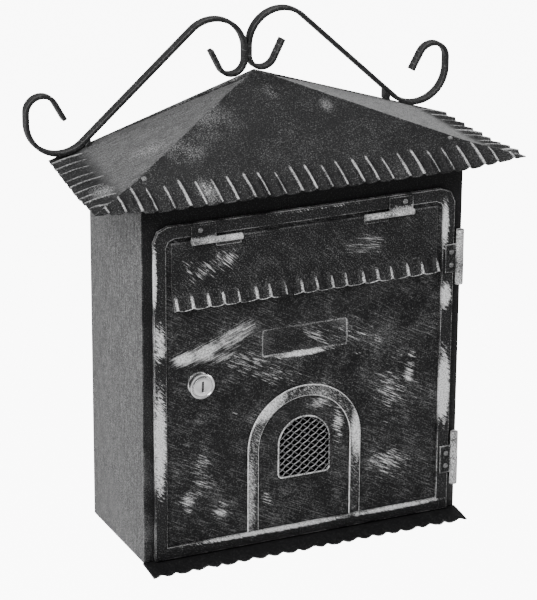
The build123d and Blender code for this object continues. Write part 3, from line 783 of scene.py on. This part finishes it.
def ridge_at(along, width, seed, pitch=PITCH):
    """Height from 0 to 1 of the nearest ridge, with its number."""
    number = round(along / pitch)
    centre = number * pitch + 0.0011 * wobble(number, seed)
    spread = width * (1 + 0.25 * wobble(number, seed + 1))
    return math.exp(-(((along - centre) / spread) ** 2)), number


def to_object(name, bm, thick, body, slot_name, material, *stands_for):
    """Make a piece of sheet metal from an open surface. The sheet grows away from its normals."""
    piece = add_piece(name, bm, body, slot_name, material, *stands_for)
    shell = piece.modifiers.new("sheet", "SOLIDIFY")
    shell.thickness = thick
    shell.offset = -1.0
    shell.use_even_offset = False
    return piece


def face_towards(bm, way):
    """Make all the faces agree, with most of them looking along way."""
    bmesh.ops.recalc_face_normals(bm, faces=bm.faces)
    if sum(face.normal.dot(way) for face in bm.faces) < 0:
        bmesh.ops.reverse_faces(bm, faces=bm.faces)


print("ridges on a 300 mm edge", round(0.3 / PITCH))

# %% [markdown]
# The roof is four slopes. Each one is laid out on its own eave line and cut along the hips by upright planes through
# the peak. The ridges fade out before a hip, so that neighbours meet without a gap. The front corners are bent up a
# little, as on the real box.

# %% Roof slopes
BACK_EAVE_LIFT = 0.0085
front_hi = Vector(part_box("roof_front")[1])
side_lo = Vector(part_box("roof_right")[0])
back_lo, back_hi = (Vector(corner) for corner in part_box("roof_back"))
peak = Vector((0.0, back_lo.y, front_hi.z))
front_corner = {side: Vector((side * front_hi.x, side_lo.y, EAVE_Z)) for side in (-1, 1)}
back_corner = {side: Vector((side * back_hi.x, 0.0, EAVE_Z + BACK_EAVE_LIFT)) for side in (-1, 1)}
CORNER_LIFT = 0.0042
CORNER_LIFT_REACH = 0.062
RIDGE_HIGH = 0.0024
RIDGE_LONG = 0.034
WALL_GAP = 0.0001


def corner_lift(point):
    """How far the crimped front corners are bent up at a point."""
    lift = 0.0
    for corner in front_corner.values():
        away = (point - corner).length
        lift = max(lift, smooth(1 - away / CORNER_LIFT_REACH))
    return lift * CORNER_LIFT


print("peak", [round(value, 4) for value in peak])

# %% [markdown]
# A slope starts as a flat grid. Its rows lie closer together near the eave, because the ridges are there. After the
# push, the grid is cut along both hips with a bisect plane, and Solidify gives the sheet its thickness inwards.


# %% One slope
def hip_planes(start, end):
    """The two upright planes through the peak and a corner, each as a point and its outward direction."""
    hips = []
    for corner in (start, end):
        flat = Vector((peak.x - corner.x, peak.y - corner.y, 0))
        outward = Vector((flat.y, -flat.x, 0)).normalized()
        if outward.dot((start + end) / 2 - corner) > 0:
            outward.negate()
        hips.append((corner, outward))
    return hips


def face_out(bm, normal):
    """Turn the faces over if most of them point down."""
    total = Vector((0, 0, 0))
    for face in bm.faces:
        total += face.normal * face.calc_area()
    if total.dot(normal if normal.z > 0 else -normal) < 0:
        bmesh.ops.reverse_faces(bm, faces=bm.faces)


def slope(name, start, end, columns, rows, seed, crimped, material, node_name):
    """One roof slope. Its eave runs from start to end, with the outside of the roof on the right."""
    along = (end - start).normalized()
    lean = peak - start
    rise = (lean - along * lean.dot(along)).normalized()
    run = lean.dot(rise)
    span = (end - start).length
    normal = along.cross(rise).normalized()
    hips = hip_planes(start, end)
    bm = bmesh.new()
    rub = bm.verts.layers.float.new("rub")
    shade = bm.verts.layers.float.new("shade")
    bmesh.ops.create_grid(bm, x_segments=columns, y_segments=rows, size=1.0)
    for vert in bm.verts:
        across = (vert.co.x + 1) / 2
        up_share = (vert.co.y + 1) / 2
        reach = run * (0.22 * up_share + 0.78 * up_share**2)
        place = start + along * (across * span) + rise * reach
        from_hip = min(-(place - corner).dot(outward) for corner, outward in hips)
        near_hip = smooth(from_hip / 0.007)
        middle = across * span - span / 2
        height, number = ridge_at(middle, 0.0023, seed)
        length = RIDGE_LONG * (1 + 0.1 * wobble(number, seed + 2))
        fade = smooth((length - reach) / (length * 0.75)) if crimped else 0.0
        line = smooth((length - reach) / (length * 0.25)) if crimped else 0.0
        sag = math.sin(middle * 46 + seed) * math.sin(reach * 60 + seed) * 0.0004
        push = (RIDGE_HIGH * height * (1 + 0.2 * wobble(number, seed + 3)) - 0.0006 * (1 - height)) * fade
        place += normal * ((push + sag * (1 - fade)) * near_hip)
        place.z += corner_lift(place)
        place.y = min(place.y, -WALL_GAP)
        vert.co = place
        tip = smooth(1 - reach / 0.0012) * 0.4 * (0.4 + 0.6 * height)
        hip_rub = smooth(1 - from_hip / 0.0035) * 0.62
        vert[rub] = max(height**1.8 * line * (0.92 + 0.14 * wobble(number, seed + 4)), tip, hip_rub)
        # Painted shade: the crimp band near the eave loses the grey sheen veil, so it looks darker.
        vert[shade] = 0.93 * smooth((RIDGE_LONG * 1.1 - reach) / (RIDGE_LONG * 0.5)) if crimped else 0.0
    for corner, outward in hips:
        whole = bm.verts[:] + bm.edges[:] + bm.faces[:]
        bmesh.ops.bisect_plane(bm, geom=whole, dist=1e-7, plane_co=corner, plane_no=outward, clear_outer=True)
    face_out(bm, normal)
    piece = to_object(name, bm, SHEET, "box", "roof_paint", material, node_name)
    print(name, "run", round(run, 4), "span", round(span, 4), "faces", len(piece.data.polygons))


# %% [markdown]
# The front slope is the long one. The rear slope is steep and narrow, stands against the wall and has no crimps.

# %% Four slopes
slope("front_slope", front_corner[-1], front_corner[1], 440, 44, 1.0, True, enamel_roof_front, "roof_front")
slope("right_slope", front_corner[1], back_corner[1], 150, 44, 2.0, True, enamel_roof_right, "roof_right")
slope("left_slope", back_corner[-1], front_corner[-1], 150, 44, 3.0, True, enamel_roof_left, "roof_left")
slope("rear_slope", back_corner[1], back_corner[-1], 60, 12, 4.0, False, enamel_roof_front, "roof_back")

# %% [markdown]
# The sill is the front end of the floor sheet. It sticks out under the door, drops a little so that rain runs off,
# and has the same crimped edge as the roof.

# %% Floor and sill
floor_lo, floor_hi = (Vector(corner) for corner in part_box("bottom_panel"))
FRONT_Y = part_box("body_wrap")[0][1] - SHEET
BOX_HALF = 0.1498
SILL_OUT = 0.0255
SILL_DROP = 0.0027


def floor_and_sill():
    """The floor sheet, wide where it forms the sill and narrow inside the box."""
    bm = bmesh.new()
    rub = bm.verts.layers.float.new("rub")
    bmesh.ops.create_grid(bm, x_segments=300, y_segments=44, size=1.0)
    deep = -0.0020 - floor_lo.y
    for vert in bm.verts:
        x = vert.co.x * floor_hi.x
        share = (vert.co.y + 1) / 2
        back = deep * (0.12 * share + 0.88 * share**2)
        y = floor_lo.y + back + 0.0008
        z = BASE_Z
        out = max(0.0, (FRONT_Y - y) / 0.025)
        edge = smooth(1 - back / 0.013)
        height, number = ridge_at(x, 0.0034, 5.0)
        z -= SILL_DROP * out
        z += edge * (0.0016 * height - 0.0004)
        y += edge * (0.0011 * height) + 0.0006 * edge * wobble(number, 7.0)
        if back > SILL_OUT:
            x *= BOX_HALF / floor_hi.x
        vert.co = (x, y, z)
        vert[rub] = 0.5 * height * edge
    face_towards(bm, Vector((0, 0, 1)))
    piece = to_object("floor_and_sill", bm, SHEET * 0.8, "box", "box_paint", enamel_face, "bottom_panel")
    piece.modifiers["sheet"].offset = 0.0
    print("floor and sill faces", len(piece.data.polygons))


floor_and_sill()

# %% [markdown]
# The letter flap is a thin plate with its lower edge flared outwards and crimped, so that fingers can lift it and rain
# drips clear of the slot. The wavy edge catches silver all along.

# %% Letter flap
flap_hi = Vector(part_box("flap_plate")[1])
FLAP_SHEET = 0.001
FLAP_FRONT = flap_hi.y - FLAP_SHEET
DOOR_TOP_MARGIN = 0.0215
BEND_BELOW_TOP = 0.059
BEND_Z = EAVE_Z - DOOR_TOP_MARGIN - BEND_BELOW_TOP
LIP_DROP = 0.015
LIP_OUT = 0.007


def letter_flap():
    """A flat plate down to the bend, and a flared and crimped lip below it."""
    bm = bmesh.new()
    rub = bm.verts.layers.float.new("rub")
    bmesh.ops.create_grid(bm, x_segments=280, y_segments=44, size=1.0)
    flat_long = flap_hi.z - BEND_Z
    lip_long = math.hypot(LIP_DROP, LIP_OUT)
    whole = flat_long + lip_long
    lip_way = Vector((0, -LIP_OUT, -LIP_DROP)).normalized()
    lip_normal = Vector((0, -LIP_DROP, LIP_OUT)).normalized()
    bend = 0.004
    for vert in bm.verts:
        x = vert.co.x * flap_hi.x
        share = (vert.co.y + 1) / 2
        down = whole * (1 - (0.25 * share + 0.75 * share**2))
        over = down - flat_long
        if over < -bend:
            place = Vector((x, FLAP_FRONT, flap_hi.z - down))
            normal = Vector((0, -1, 0))
        else:
            turned = smooth((over + bend) / (2 * bend))
            place = Vector((x, FLAP_FRONT, BEND_Z)) + lip_way * max(over, 0.0)
            if over < 0:
                place.z -= over
            normal = Vector((0, -1, 0)).lerp(lip_normal, turned).normalized()
        height, number = ridge_at(x + PITCH / 2, 0.0026, 11.0)
        grow = smooth((over + 0.006) / 0.016)
        place += normal * (0.0028 * height * (1 + 0.2 * wobble(number, 12.0)) - 0.0005) * grow
        place.z += 0.0012 * grow * height * smooth(over / lip_long)
        vert.co = place
        lip_edge = smooth(1 - (lip_long - over) / 0.0016) * 0.95
        vert[rub] = max(height**1.2 * grow * 0.84, lip_edge * (0.85 + 0.2 * wobble(number, 13.0)))
    face_towards(bm, Vector((0, -1, 0)))
    piece = to_object("letter_flap", bm, FLAP_SHEET, "flap", "door_paint", enamel_flap, "flap_plate")
    print("letter flap faces", len(piece.data.polygons))


letter_flap()

# %% [markdown]
# The scrolls are flat bars bent cold round a former: a tight crown, a long open curve, a straight, an arch over the
# peak and a small hook. One rounded section is pushed along that path. Straights are extruded and curves are spun.


# %% Bent bars
DEGREES_PER_STEP = 6


class BarPath:
    """Pushes a section face along straights and arcs in one plane."""

    def __init__(self, start, heading, section):
        self.bm = bmesh.new()
        self.place = Vector(start)
        self.heading = heading
        wide, thick, corner = section
        bmesh.ops.create_grid(self.bm, x_segments=1, y_segments=1, size=0.5)
        bmesh.ops.scale(self.bm, vec=(wide, thick, 1), verts=self.bm.verts)
        bmesh.ops.bevel(
            self.bm,
            geom=self.bm.verts[:],
            offset=corner,
            offset_type="OFFSET",
            segments=3,
            profile=0.5,
            affect="VERTICES",
            material=-1,
        )
        ahead = self.direction()
        flat = Vector((0, 1, 0))
        axes = Matrix((flat, ahead.cross(flat), ahead)).transposed().to_4x4()
        bmesh.ops.transform(self.bm, matrix=Matrix.Translation(self.place) @ axes, verts=self.bm.verts)
        self.end = self.bm.faces[:]

    def direction(self):
        turn = math.radians(self.heading)
        return Vector((math.cos(turn), 0, math.sin(turn)))

    def line(self, length, steps=1):
        for _ in range(steps):
            made = bmesh.ops.extrude_face_region(self.bm, geom=self.end)["geom"]
            verts = [item for item in made if isinstance(item, bmesh.types.BMVert)]
            self.end = [item for item in made if isinstance(item, bmesh.types.BMFace)]
            bmesh.ops.translate(self.bm, verts=verts, vec=self.direction() * (length / steps))
        self.place += self.direction() * length

    def arc(self, radius, turn_deg):
        """Turn left for a positive angle and right for a negative one."""
        side = 1 if turn_deg > 0 else -1
        turn = math.radians(self.heading)
        to_centre = Vector((-math.sin(turn), 0, math.cos(turn))) * side
        centre = self.place + to_centre * radius
        steps = max(2, round(abs(turn_deg) / DEGREES_PER_STEP))
        made = bmesh.ops.spin(
            self.bm,
            geom=self.end,
            cent=centre,
            axis=(0, -1, 0),
            angle=math.radians(turn_deg),
            steps=steps,
            use_merge=False,
            use_duplicate=False,
        )["geom_last"]
        self.end = [item for item in made if isinstance(item, bmesh.types.BMFace)]
        self.place = centre + Matrix.Rotation(math.radians(turn_deg), 3, (0, -1, 0)) @ (self.place - centre)
        self.heading += turn_deg


print("bar path ready")

# %% [markdown]
# The two scrolls have the same curves but not the same length: the left one reaches further out. The ends come from the
# CAD box of each, and the straight between them is the line that touches the outer curve and the arch.

# %% Scrolls
BAR_WIDE = 0.009
BAR_THICK = 0.004
BAR_ROUND = 0.0011
ARCH_RADIUS = 0.030
OUTER_RADIUS = 0.0304
CURL_RADIUS = 0.0125
CROWN_RADIUS = 0.0137
CROWN_ABOVE = 0.0084
CROWN_TURN = 151
CROWN_HEADING = 61
CROWN_TAIL = 0.0176
BEFORE_CURL = 0.0084
CURL_TURN = 153
CURL_TAIL = 0.0185


def scroll_piece(node_name, side):
    """One scroll, drawn on the right side and mirrored for the left."""
    low, high = (Vector(corner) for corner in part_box(node_name))
    reach = max(side * low.x, side * high.x)
    meeting = min(side * low.x, side * high.x)
    middle_y = (low.y + high.y) / 2
    half_bar = BAR_THICK / 2
    outer = Vector((reach - half_bar - OUTER_RADIUS, middle_y, low.z + half_bar + OUTER_RADIUS))
    arch = Vector((meeting + half_bar + ARCH_RADIUS, middle_y, high.z - half_bar - ARCH_RADIUS))
    gap = arch - outer
    tangent = math.sqrt(gap.x**2 + gap.z**2 - (ARCH_RADIUS + OUTER_RADIUS) ** 2)
    heading = math.degrees(math.atan2(gap.z, gap.x) - math.atan2(ARCH_RADIUS + OUTER_RADIUS, tangent))
    turn = math.radians(CROWN_HEADING)
    crown = Vector((outer.x + OUTER_RADIUS - CROWN_RADIUS, middle_y, outer.z + CROWN_ABOVE))
    start = crown + CROWN_RADIUS * Vector((-math.sin(turn), 0, math.cos(turn)))
    start -= CROWN_TAIL * Vector((math.cos(turn), 0, math.sin(turn)))
    path = BarPath(start, CROWN_HEADING, (BAR_WIDE, BAR_THICK, BAR_ROUND))
    path.line(CROWN_TAIL, 3)
    path.arc(CROWN_RADIUS, -CROWN_TURN)
    path.line(CROWN_ABOVE)
    path.arc(OUTER_RADIUS, heading - 270)
    path.line(tangent, 6)
    path.arc(ARCH_RADIUS, 270 - heading)
    path.line(BEFORE_CURL)
    path.arc(CURL_RADIUS, CURL_TURN)
    path.line(CURL_TAIL, 3)
    bm = path.bm
    bmesh.ops.remove_doubles(bm, verts=bm.verts, dist=SAME_PLACE)
    bmesh.ops.holes_fill(bm, edges=loose_edges(bm))
    if side < 0:
        bmesh.ops.scale(bm, vec=(-1, 1, 1), verts=bm.verts)
    bmesh.ops.recalc_face_normals(bm, faces=bm.faces)
    piece = add_piece(node_name + "_bar", bm, "box", "scroll_paint", enamel_scroll, node_name)
    print(node_name, "bar angle", round(180 - heading, 1), "faces", len(piece.data.polygons))


scroll_piece("scroll_right", 1)
scroll_piece("scroll_left", -1)

# %% [markdown]
# The window has a woven wire screen behind it. Each wire goes over one crossing wire and under the next, so it is a
# thin tube with a wave along it. The grid is rolled into a tube, joined along its seam and closed at both ends.

# %% Woven screen
screen_lo, screen_hi = (Vector(corner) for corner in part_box("window_mesh"))
WIRE = 0.00044
WIRE_PITCH = 0.0048
TILT = math.radians(37)
CROSSING = WIRE_PITCH / math.sin(2 * TILT)
WAVE = 0.00046
SHORTEST = 0.006
# Painted light: the wires that rise to the right are painted brighter than the falling ones, though all are the same
# wire.
RISING_PAINTED_LIGHT = 1.0
FALLING_PAINTED_LIGHT = 0.55


def add_wire(bm, rub, start, way, length, phase, shine):
    """Add one waved wire to the bmesh. shine is its painted brightness, kept as its rub number."""
    steps = max(4, round(length / CROSSING * 6))
    made = bmesh.ops.create_grid(bm, x_segments=steps, y_segments=6, size=1.0)["verts"]
    side = way.cross(Vector((0, 1, 0)))
    for vert in made:
        far = (vert.co.x + 1) / 2 * length
        angle = (vert.co.y + 1) * math.pi
        wave = WAVE * math.cos(phase + far / CROSSING * math.pi)
        centre = start + way * far + Vector((0, wave, 0))
        vert.co = centre + side * (WIRE * math.cos(angle)) + Vector((0, WIRE * math.sin(angle), 0))
        vert[rub] = shine
    bmesh.ops.remove_doubles(bm, verts=made, dist=SAME_PLACE)


def woven_screen():
    """Two families of wires, cut to the screen's box."""
    bm = bmesh.new()
    rub = bm.verts.layers.float.new("rub")
    middle = (screen_lo + screen_hi) / 2
    half_x = screen_hi.x - 0.0008
    half_z = (screen_hi.z - screen_lo.z) / 2 - 0.0008
    middle.y = screen_hi.y - 0.0011
    for slant in (1, -1):
        way = Vector((math.cos(TILT), 0, slant * math.sin(TILT)))
        for number in range(-16, 17):
            base_x = number * WIRE_PITCH / math.sin(TILT)
            ends_x = sorted(((limit - base_x) / way.x for limit in (-half_x, half_x)))
            ends_z = sorted((limit / way.z for limit in (-half_z, half_z)))
            near = max(ends_x[0], ends_z[0])
            far = min(ends_x[1], ends_z[1])
            if far - near < SHORTEST:
                continue
            start = Vector((base_x, middle.y, middle.z)) + way * near
            phase = near / CROSSING * math.pi + (0.0 if slant > 0 else math.pi)
            add_wire(bm, rub, start, way, far - near, phase, RISING_PAINTED_LIGHT if slant > 0 else FALLING_PAINTED_LIGHT)
    bmesh.ops.holes_fill(bm, edges=loose_edges(bm))
    bmesh.ops.recalc_face_normals(bm, faces=bm.faces)
    piece = add_piece("woven_screen", bm, "door", "wire_steel", wire, "window_mesh")
    print("screen faces", len(piece.data.polygons))


woven_screen()

# %% [markdown]
# A thin bead runs round the window opening. It hides the cut edge of the sheet and catches the light.

# %% Window bead
WINDOW_RADIUS = 0.0245
WINDOW_CORNER = 0.004
ARCH_Z = BASE_Z + 0.089
WINDOW_LOW_Z = BASE_Z + 0.0585
BEAD_SECTION = (0.0016, 0.0012, 0.0005)


def window_bead():
    """A bent bar round the window that starts and ends in the middle of its lower edge."""
    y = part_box("door_panel")[0][1] - 0.0001
    path = BarPath((0.0, y, WINDOW_LOW_Z), 0, BEAD_SECTION)
    path.line(WINDOW_RADIUS - WINDOW_CORNER, 4)
    path.arc(WINDOW_CORNER, 90)
    path.line(ARCH_Z - WINDOW_LOW_Z - WINDOW_CORNER, 4)
    path.arc(WINDOW_RADIUS, 180)
    path.line(ARCH_Z - WINDOW_LOW_Z - WINDOW_CORNER, 4)
    path.arc(WINDOW_CORNER, 90)
    path.line(WINDOW_RADIUS - WINDOW_CORNER, 4)
    bm = path.bm
    bmesh.ops.delete(bm, geom=path.end, context="FACES_ONLY")
    caps = [face for face in bm.faces if len(face.verts) > 4]
    if caps:
        bmesh.ops.delete(bm, geom=caps, context="FACES_ONLY")
    bmesh.ops.remove_doubles(bm, verts=bm.verts, dist=5e-6)
    bmesh.ops.recalc_face_normals(bm, faces=bm.faces)
    rub = bm.verts.layers.float.new("rub")
    for vert in bm.verts:
        vert[rub] = 0.86 if vert.co.x < 0.012 or vert.co.z < WINDOW_LOW_Z + WINDOW_CORNER else 0.66
    print("bead open edges", len(loose_edges(bm)))
    add_piece("window_bead", bm, "door", "trim_paint", enamel_strip)


window_bead()

# %% [markdown]
# The rest keep the CAD shape with softened edges. Pressed strips get a wide round, thin sheets a narrow one.

# %% Raised strips
STRIP_ROUND = 0.0012


def strip_rub(node_name, strength):
    """Silver on the rounded shoulders of a raised strip."""
    low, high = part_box(node_name)
    deep = high[1] - low[1]

    def rubbed(point):
        share = (point.y - low[1]) / deep
        return strength if 0.03 < share < 0.8 else strength * 0.4

    return rubbed


rounded_copy("door_frame", STRIP_ROUND, enamel_strip, 4, rubbed=strip_rub("door_frame", 0.66))
rounded_copy("arch_trim", STRIP_ROUND, enamel_arch, 4, rubbed=strip_rub("arch_trim", 0.98))

# %% [markdown]
# The door sheet, the face round it and the folded wrap are thin, so their edges get only a narrow round.

# %% Sheets
rounded_copy("door_panel", 0.0003, enamel_door)
rounded_copy("front_frame", 0.0003, enamel_face)
rounded_copy("body_wrap", 0.0004, enamel_box)

# %% [markdown]
# Hands and weather wear a hinge most on its barrel. The silver there comes from each point's distance to the joint's
# axis: inside the barrel's radius it is rubbed, and further out, on the leaves, it is not.


# %% Hinges
def barrel_rub(axis_point, axis_way, radius, strength):
    """Silver on a hinge barrel and bare enamel on its leaves."""
    centre = Vector(axis_point)
    way = Vector(axis_way)

    def rubbed(point):
        arm = point - centre
        arm -= way * arm.dot(way)
        if arm.length > radius * 1.25:
            return 0.0
        return strength

    return rubbed


joints = {joint["name"]: joint for joint in record["behaviour"]["joints"]}
door_barrel = barrel_rub(joints["door_swing"]["pos_m"], (0, 0, 1), 0.0035, 0.78)
flap_barrel = barrel_rub(joints["flap_lift"]["pos_m"], (1, 0, 0), 0.00275, 0.76)
for half in ("fixed", "moving"):
    for height in ("lower", "upper"):
        rounded_copy(f"door_hinge_{height}_{half}", 0.0003, enamel_hinge, rubbed=door_barrel)
for half in ("fixed", "moving"):
    for side in ("left", "right"):
        rounded_copy(f"flap_hinge_{side}_{half}", 0.0003, enamel_hinge, rubbed=flap_barrel)

# %% [markdown]
# Screw and rivet heads were painted with the sheets, so only their rims shine. The pins are bare zinc plated steel.

# %% Screws, rivets and pins
for node_name in ("door_hinge_screws", "flap_hinge_screws"):
    rounded_copy(node_name, 0.0005, enamel_screw, 3)
rounded_copy("roof_rivets", 0.0004, enamel_screw, 3)
rounded_copy("door_hinge_pins", 0.0005, zinc)
rounded_copy("flap_hinge_pins", 0.0004, zinc)
rounded_copy("scroll_feet", 0.0004, enamel_scroll)

# %% [markdown]
# The lock's housing is turned: one profile spun round the lock's axis gives a body, a neck and a rounded ring. The plug's
# head is drawn in a little, so that a dark gap shows between it and the ring, as on a real cam lock.

# %% Lock
lock_axis = joints["lock_turn"]["pos_m"]
LOCK_X, LOCK_Z = lock_axis[0], lock_axis[2]
HEAD_FROM = 0.0088
HEAD_RADIUS = 0.0084


def lock_housing():
    """The chromed housing. Its profile holds radii and depths, from the back round to the back."""
    profile = (
        (0.0082, -0.1120),
        (0.0100, -0.1120),
        (0.0100, -0.1197),
        (0.0096, -0.1199),
        (0.0096, -0.1250),
        (0.0106, -0.1256),
        (0.0112, -0.1262),
        (0.0114, -0.1270),
        (0.0112, -0.1277),
        (0.0107, -0.1280),
        (0.0099, -0.1279),
        (0.0094, -0.1274),
        (0.00925, -0.1266),
        (0.00925, -0.1250),
        (0.0082, -0.1250),
    )
    bm = bmesh.new()
    verts = [bm.verts.new((LOCK_X + radius, y, LOCK_Z)) for radius, y in profile]
    edges = [bm.edges.new((verts[index - 1], verts[index])) for index in range(len(verts))]
    bmesh.ops.spin(
        bm,
        geom=verts + edges,
        cent=(LOCK_X, 0, LOCK_Z),
        axis=(0, 1, 0),
        angle=math.tau,
        steps=72,
        use_merge=True,
        use_duplicate=False,
    )
    bmesh.ops.remove_doubles(bm, verts=bm.verts, dist=SAME_PLACE)
    bmesh.ops.recalc_face_normals(bm, faces=bm.faces)
    print("housing open edges", len(loose_edges(bm)))
    add_piece("lock_housing_turned", bm, "door", "lock_chrome", chrome, "lock_housing")


def plug_copy():
    """The lock plug with its head drawn in."""
    bm = merged_copy("lock_plug")
    for vert in bm.verts:
        arm = Vector((vert.co.x - LOCK_X, 0, vert.co.z - LOCK_Z))
        if arm.length > HEAD_FROM:
            arm *= HEAD_RADIUS / arm.length
            vert.co.x, vert.co.z = LOCK_X + arm.x, LOCK_Z + arm.z
    round_edges(bm, 0.0005, 3)
    add_piece("lock_plug_worn", bm, "lock", "lock_chrome", chrome, "lock_plug")


lock_housing()
plug_copy()
rounded_copy("lock_nut", 0.0004, zinc)
rounded_copy("lock_cam", 0.0003, zinc)
rounded_copy("cam_screw", 0.0004, zinc)

# %% [markdown]
# Last, the box of the finished pieces is printed, to set beside the CAD box printed at the start. The looks
# must not make the object larger.

seen_box = [list(corner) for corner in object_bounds()]
print("visual box", [[round(value, 4) for value in corner] for corner in seen_box])
